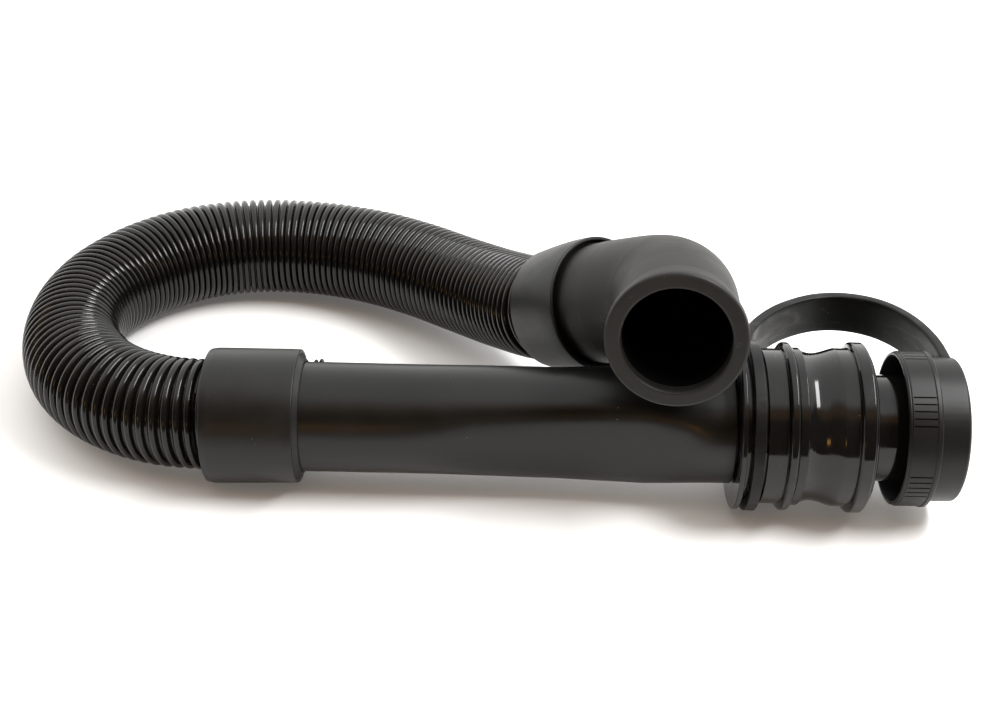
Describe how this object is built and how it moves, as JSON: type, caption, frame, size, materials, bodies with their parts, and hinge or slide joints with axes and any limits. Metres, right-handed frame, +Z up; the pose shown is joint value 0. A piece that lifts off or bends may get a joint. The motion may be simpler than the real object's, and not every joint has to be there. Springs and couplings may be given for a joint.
{
  "type": "drain hose assembly",
  "caption": "Corrugated drain hose bent back on itself, with a soft squeeze tube, a capped outlet on a tether and a rubber elbow at the far end.",
  "frame": {"origin": "middle of the bounding box, on the surface that the object lies on", "axes": "+X from the hose's bend to the capped outlet, +Y from the straight arm to the hose's far arm, +Z up"},
  "size_m": [0.4148, 0.2214, 0.1217],
  "materials": {
    "hose_pvc": "glossy extruded PVC",
    "cuff_rubber": "satin moulded rubber",
    "tube_rubber": "satin soft rubber",
    "outlet_plastic": "high gloss",
    "tether_plastic": "matt with faint mould streaks",
    "cap_plastic": "soft satin",
    "ferrule_plastic": "matt",
    "gasket_rubber": "matt",
    "elbow_rubber": "matt, fine textured"
  },
  "bodies": {
    "root": {"corrugated_hose": "hose_pvc", "front_cuff": "cuff_rubber", "front_hose_ferrule": "ferrule_plastic", "squeeze_tube": "tube_rubber", "outlet_fitting": "outlet_plastic"},
    "elbow_arm": {"rear_cuff": "cuff_rubber", "rear_hose_ferrule": "ferrule_plastic"},
    "elbow": {"elbow": "elbow_rubber"},
    "tether": {"strap_ring": "tether_plastic", "strap_band": "tether_plastic"},
    "cap": {"outlet_cap": "cap_plastic", "cap_gasket": "gasket_rubber"}
  },
  "joints": [
    {"name": "hose_bend", "type": "hinge", "parent": "root", "child": "elbow_arm", "pos_m": [-0.18, -0.015, 0.0237], "axis": [0, 0, 1], "range_deg": [0, 45], "deforming": ["corrugated_hose"]},
    {"name": "elbow_swivel", "type": "hinge", "parent": "elbow_arm", "child": "elbow", "pos_m": [0.05788, -0.02798, 0.0653], "axis": [-0.6226, 0.6226, -0.4742], "range_deg": [0, 180]},
    {"name": "cap_turn", "type": "hinge", "parent": "root", "child": "tether", "pos_m": [0.12057, -0.07469, 0.03605], "axis": [0.9995, 0, 0.0318], "continuous": true},
    {"name": "cap_pull", "type": "slide", "parent": "tether", "child": "cap", "axis": [0.9995, 0, 0.0318], "range_m": [-0.0115, 0.028], "deforming": ["strap_band"]}
  ]
}
